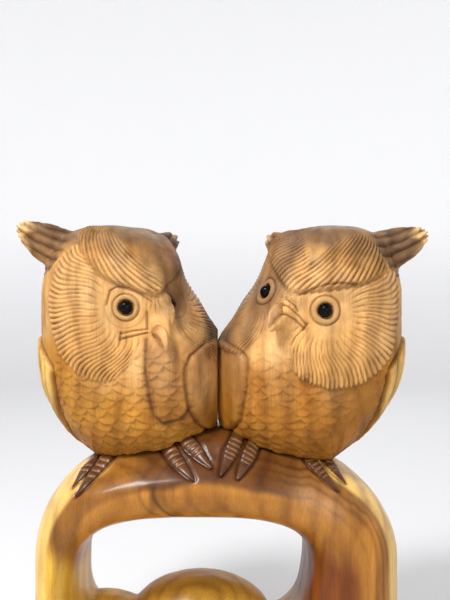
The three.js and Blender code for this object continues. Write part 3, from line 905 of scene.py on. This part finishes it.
def carve_arch():
    """The arch, with its front ridge and a cut round each toe, and the surface that the toes lie on."""
    skin = Skin("arch_perch", "arch_carved", ARCH_VOXEL, ARCH_PASSES)
    p = skin.base.copy()
    n = skin.out
    p[:, 2] = np.maximum(p[:, 2], 0.0)
    x = p[:, 0] - SEAM
    # The long slope under the owls ends in a soft ridge along the front of the arch.
    ridge = np.where(x > 0, 130.0 - 16.0 * (x / 81) ** 2, 130.0 - 6.0 * (x / 85) ** 2)
    facing = ease(-20, -42, p[:, 1]) * ease(92, 76, np.abs(x))
    above = p[:, 2] - ridge
    slope = 0.3 * wobble(p, 16.0, 4.0) + facing * (1.3 * bell(above, 5.0) - 2.4 * bell(above - 16, 8.0))
    p = p + n * slope[:, None]
    faces = [tuple(f.vertices) for f in skin.obj.data.polygons]
    smooth = BVHTree.FromPolygons([Vector(v) for v in p], faces)
    height = np.zeros(len(p))
    cut = np.zeros(len(p))
    upper = p[:, 2] > 100
    for shape in TOES:
        path = toe_path(shape, smooth)
        gap = np.full(len(p), 99.0)
        for i in range(0, len(path), 3):
            half_width = toe_half_width(i / (len(path) - 1))
            away = np.linalg.norm(p[upper] - path[i][0], axis=1) - half_width
            gap[upper] = np.minimum(gap[upper], away)
        # A groove round each toe, darkened with painted shade through the cut value.
        line = bell(gap - 0.7, 1.0)
        height -= 1.0 * line
        cut = np.maximum(cut, 0.9 * line)
    moved = p + n * height[:, None]
    moved[:, 2] = np.where(p[:, 2] < 1.0, p[:, 2], np.maximum(moved[:, 2], 0.0))
    skin.set_points(moved)
    for key, values in (("cut", cut), ("edge_highlight", np.zeros(len(p))), ("iris", np.zeros(len(p)))):
        paint_value(skin.obj, key, values)
    paint_tint(skin.obj, arch_tint(p, n))
    return skin, smooth


# ======== materials ========
# Where each shade sits on its noise, and what it multiplies the wood's colour by.
RING_SHADES = [(0.0, (0.60, 0.50, 0.42)), (0.35, (0.93, 0.91, 0.88)), (1.0, (1.10, 1.08, 1.05))]
BAND_SHADES = [(0.30, (0.72, 0.66, 0.60)), (0.48, (1.0, 1.0, 1.0)), (0.70, (1.16, 1.14, 1.10))]
FIBRE_SHADES = [(0.30, (0.80, 0.76, 0.72)), (0.65, (1.06, 1.05, 1.04))]
PORE_SHADES = [(0.28, (0.55, 0.48, 0.42)), (0.40, (1.0, 1.0, 1.0))]
IRIS_WOOD = (0.52, 0.29, 0.105, 1.0)
# Painted highlight: what the lightened scale edges multiply the wood's colour by.
EDGE_HIGHLIGHT_LIGHTENS = (1.75, 1.9, 2.3, 1.0)
# Painted shade: what the cut value multiplies the wood's colour by.
CUT_DARKENS = (0.30, 0.20, 0.12, 1.0)
RING_SCALE = 24.0
FIBRE_SCALE = 900.0
BAND_SCALE = 95.0
PORE_SCALE = 2600.0


def carved_wood(name, ring_depth, gloss, coat):
    """Oiled wood: the vertex colour gives the ground, and the nodes add rings, fibres, pores, painted shade
    in the cuts and a painted highlight on the scale edges.
    """
    material = bpy.data.materials.new(name)
    material.use_nodes = True
    nodes, links = material.node_tree.nodes, material.node_tree.links
    nodes.clear()

    def node(kind, **values):
        made = nodes.new(kind)
        for key, value in values.items():
            setattr(made, key, value)
        return made

    def noise_at(place, scale, detail):
        made = node("ShaderNodeTexNoise")
        made.inputs["Scale"].default_value = scale
        made.inputs["Detail"].default_value = detail
        links.new(place, made.inputs["Vector"])
        return made

    def stretched(place, scale):
        made = node("ShaderNodeMapping")
        made.inputs["Scale"].default_value = scale
        links.new(place, made.inputs["Vector"])
        return made.outputs[0]

    def attribute(key, output="Fac"):
        return node("ShaderNodeAttribute", attribute_name=key).outputs[output]

    def mix(factor, first, second, kind="MIX"):
        made = node("ShaderNodeMix", data_type="RGBA", blend_type=kind)
        for key, value in ((0, factor), (6, first), (7, second)):
            if isinstance(value, bpy.types.NodeSocket):
                links.new(value, made.inputs[key])
            else:
                made.inputs[key].default_value = value
        return made.outputs[2]

    def ramp(source, stops):
        made = node("ShaderNodeValToRGB")
        links.new(source, made.inputs["Fac"])
        elements = made.color_ramp.elements
        while len(elements) < len(stops):
            elements.new(0.5)
        for element, (place, shade) in zip(elements, stops):
            element.position = place
            element.color = (shade[0], shade[1], shade[2], 1.0)
        return made.outputs["Color"]

    place = node("ShaderNodeTexCoord").outputs["Object"]
    bent = noise_at(place, 11.0, 2.0)
    shifted = node("ShaderNodeVectorMath", operation="MULTIPLY_ADD")
    links.new(bent.outputs["Color"], shifted.inputs[0])
    shifted.inputs[1].default_value = (0.035, 0.035, 0.035)
    links.new(place, shifted.inputs[2])
    log = stretched(shifted.outputs[0], (1.0, 1.0, 0.16))
    rings = node("ShaderNodeTexWave", wave_type="RINGS", rings_direction="Z", wave_profile="SIN")
    for key, value in (("Scale", RING_SCALE), ("Distortion", 5.0), ("Detail", 3.0), ("Detail Scale", 1.4)):
        rings.inputs[key].default_value = value
    links.new(log, rings.inputs["Vector"])
    fibre = noise_at(stretched(place, (1.0, 1.0, 0.06)), FIBRE_SCALE, 3.0)
    bands = noise_at(stretched(place, (1.0, 1.0, 0.10)), BAND_SCALE, 3.0)
    pores = noise_at(stretched(place, (1.0, 1.0, 0.09)), PORE_SCALE, 1.0)

    ring_shade = ramp(rings.outputs["Fac"], RING_SHADES)
    band_shade = ramp(bands.outputs["Fac"], BAND_SHADES)
    fibre_shade = ramp(fibre.outputs["Fac"], FIBRE_SHADES)
    pore_shade = ramp(pores.outputs["Fac"], PORE_SHADES)
    colour = mix(ring_depth, attribute("tint", "Color"), ring_shade, "MULTIPLY")
    colour = mix(0.8, colour, band_shade, "MULTIPLY")
    colour = mix(0.7, colour, fibre_shade, "MULTIPLY")
    colour = mix(0.5, colour, pore_shade, "MULTIPLY")
    colour = mix(attribute("iris"), colour, mix(0.5, IRIS_WOOD, fibre_shade, "MULTIPLY"))
    # Painted highlight on the free edges of the belly scales.
    colour = mix(attribute("edge_highlight"), colour, mix(1.0, colour, EDGE_HIGHLIGHT_LIGHTENS, "MULTIPLY"))
    # Painted shade in every cut, crease and groove.
    colour = mix(attribute("cut"), colour, mix(1.0, colour, CUT_DARKENS, "MULTIPLY"))

    shader = node("ShaderNodeBsdfPrincipled")
    links.new(colour, shader.inputs["Base Color"])
    rough = node("ShaderNodeMapRange")
    rough.inputs["To Min"].default_value = gloss - 0.08
    rough.inputs["To Max"].default_value = gloss + 0.16
    links.new(fibre.outputs["Fac"], rough.inputs["Value"])
    links.new(rough.outputs[0], shader.inputs["Roughness"])
    shader.inputs["Specular IOR Level"].default_value = 0.16
    shader.inputs["Coat Weight"].default_value = coat
    shader.inputs["Coat Roughness"].default_value = 0.22
    bump = node("ShaderNodeBump")
    bump.inputs["Strength"].default_value = 0.3
    bump.inputs["Distance"].default_value = 0.0003
    links.new(fibre.outputs["Fac"], bump.inputs["Height"])
    links.new(bump.outputs[0], shader.inputs["Normal"])
    out = node("ShaderNodeOutputMaterial")
    links.new(shader.outputs[0], out.inputs["Surface"])
    return material


def glass_black():
    material = bpy.data.materials.new("eye_glass_black")
    material.use_nodes = True
    nodes, links = material.node_tree.nodes, material.node_tree.links
    shader = nodes["Principled BSDF"]
    speck = nodes.new("ShaderNodeTexNoise")
    speck.inputs["Scale"].default_value = 700.0
    tint = nodes.new("ShaderNodeValToRGB")
    tint.color_ramp.elements[0].color = (0.001, 0.001, 0.0015, 1)
    tint.color_ramp.elements[1].color = (0.004, 0.0035, 0.005, 1)
    links.new(speck.outputs["Fac"], tint.inputs["Fac"])
    links.new(tint.outputs["Color"], shader.inputs["Base Color"])
    rough = nodes.new("ShaderNodeMapRange")
    rough.inputs["To Min"].default_value = 0.03
    rough.inputs["To Max"].default_value = 0.09
    links.new(speck.outputs["Fac"], rough.inputs["Value"])
    links.new(rough.outputs[0], shader.inputs["Roughness"])
    shader.inputs["Specular IOR Level"].default_value = 0.1
    return material


# ======== pieces ========
face_wood = carved_wood("owl_wood_carved", 0.45, 0.46, 0.04)
arch_wood = carved_wood("arch_wood_polished", 0.5, 0.34, 0.22)
black = glass_black()

for bird in (LEFT, RIGHT):
    skin = carve_owl(bird)
    finish_piece(beak(bird, skin.tree()), face_wood, "owl_wood", f"{bird.name}_owl")
    finish_piece(skin.finish(), face_wood, "owl_wood", f"{bird.name}_owl")
    for end, (middle, radius, direction) in bird.eyes.items():
        eye = f"{bird.name}_owl_{end}_eye"
        finish_piece(turned_bead(f"{eye}_bead", middle, radius, direction), black, "eye_glass", eye)
arch, arch_tree = carve_arch()
finish_piece(arch.finish(), arch_wood, "arch_wood", "arch_perch")
for index, shape in enumerate(TOES):
    finish_piece(toe(index, shape, arch_tree), arch_wood, "arch_wood", "arch_perch")


# ======== studio ========
# The bowl that stands for floor and wall, in metres.
FLOOR_RADIUS = 1.7
FLOOR_CURVE = 0.6
WALL_TOP = 2.4
FLOOR_DROP = 0.0004
FLOOR_GREY = (0.56, 0.56, 0.57, 1)
WALL_WHITE = (0.86, 0.86, 0.87, 1)


def pale_stage():
    """A round bowl: a flat floor that curves up into a wall, the same from every side."""
    profile = [(0.0, 0.0), (0.6, 0.0), (1.2, 0.0), (FLOOR_RADIUS, 0.0)]
    for k in range(1, 13):
        a = math.radians(90 * k / 12)
        profile.append((FLOOR_RADIUS + FLOOR_CURVE * math.sin(a), FLOOR_CURVE - FLOOR_CURVE * math.cos(a)))
    profile.append((FLOOR_RADIUS + FLOOR_CURVE, WALL_TOP))
    around = 64
    points, faces = [(0, 0, -FLOOR_DROP)], []
    for r, h in profile[1:]:
        for k in range(around):
            a = 2 * math.pi * k / around
            points.append((r * math.cos(a), r * math.sin(a), h - FLOOR_DROP))
    faces += [(0, 1 + k, 1 + (k + 1) % around) for k in range(around)]
    faces += [face[::-1] for face in quad_rows(len(profile) - 1, around, 1)]
    obj = mesh_object("studio_bowl", np.array(points) / MM, faces)
    material = bpy.data.materials.new("studio_paper")
    material.use_nodes = True
    shader = material.node_tree.nodes["Principled BSDF"]
    # The floor is a little greyer than the wall, so that both look equally pale under the lamps.
    nodes, links = material.node_tree.nodes, material.node_tree.links
    height = nodes.new("ShaderNodeSeparateXYZ")
    links.new(nodes.new("ShaderNodeTexCoord").outputs["Object"], height.inputs[0])
    paper = nodes.new("ShaderNodeValToRGB")
    paper.color_ramp.elements[0].color = FLOOR_GREY
    paper.color_ramp.elements[1].color = WALL_WHITE
    paper.color_ramp.elements[1].position = 0.5
    links.new(height.outputs["Z"], paper.inputs["Fac"])
    links.new(paper.outputs["Color"], shader.inputs["Base Color"])
    shader.inputs["Roughness"].default_value = 0.95
    # The paper also glows faintly though it is no lamp: painted light that brightens the wall and lights the
    # birds a little from all round.
    shader.inputs["Emission Color"].default_value = (1, 1, 1, 1)
    shader.inputs["Emission Strength"].default_value = 0.20
    obj.data.materials.append(material)


# Name, place in metres, diameter in metres and power in watts of each lamp.
LAMPS = (("key", (-0.55, -0.70, 1.30), 0.40, 23), ("fill", (0.6, -1.4, 0.5), 0.8, 3),
         ("back", (0.3, 1.2, 1.3), 1.0, 5))
LAMP_TARGET = (0, 0, 0.17)


def area_light(name, place, target, size, power):
    data = bpy.data.lights.new(name, "AREA")
    data.shape = "DISK"
    data.size = size
    data.energy = power
    obj = bpy.data.objects.new(name, data)
    bpy.context.scene.collection.objects.link(obj)
    obj.location = place
    obj.rotation_euler = (Vector(target) - Vector(place)).to_track_quat("-Z", "Y").to_euler()


def studio():
    pale_stage()
    for name, place, size, power in LAMPS:
        area_light(name, place, LAMP_TARGET, size, power)
    world = bpy.data.worlds.new("sky")
    world.use_nodes = True
    background = world.node_tree.nodes["Background"]
    background.inputs["Color"].default_value = (0.97, 0.98, 1.0, 1)
    background.inputs["Strength"].default_value = 0.38
    bpy.context.scene.world = world
    bpy.context.scene.view_settings.view_transform = "Standard"


def camera():
    data = bpy.data.cameras.new("camera")
    data.lens = CAMERA["lens"]
    data.sensor_width = CAMERA["sensor"]
    data.clip_start = 0.02
    data.clip_end = 20.0
    obj = bpy.data.objects.new("camera", data)
    bpy.context.scene.collection.objects.link(obj)
    obj.location = ((SEAM + CAMERA["right"]) * MM, -CAMERA["back"] * MM, CAMERA["height"] * MM)
    obj.rotation_euler = (math.radians(90), 0, 0)
    bpy.context.scene.camera = obj


studio()
camera()
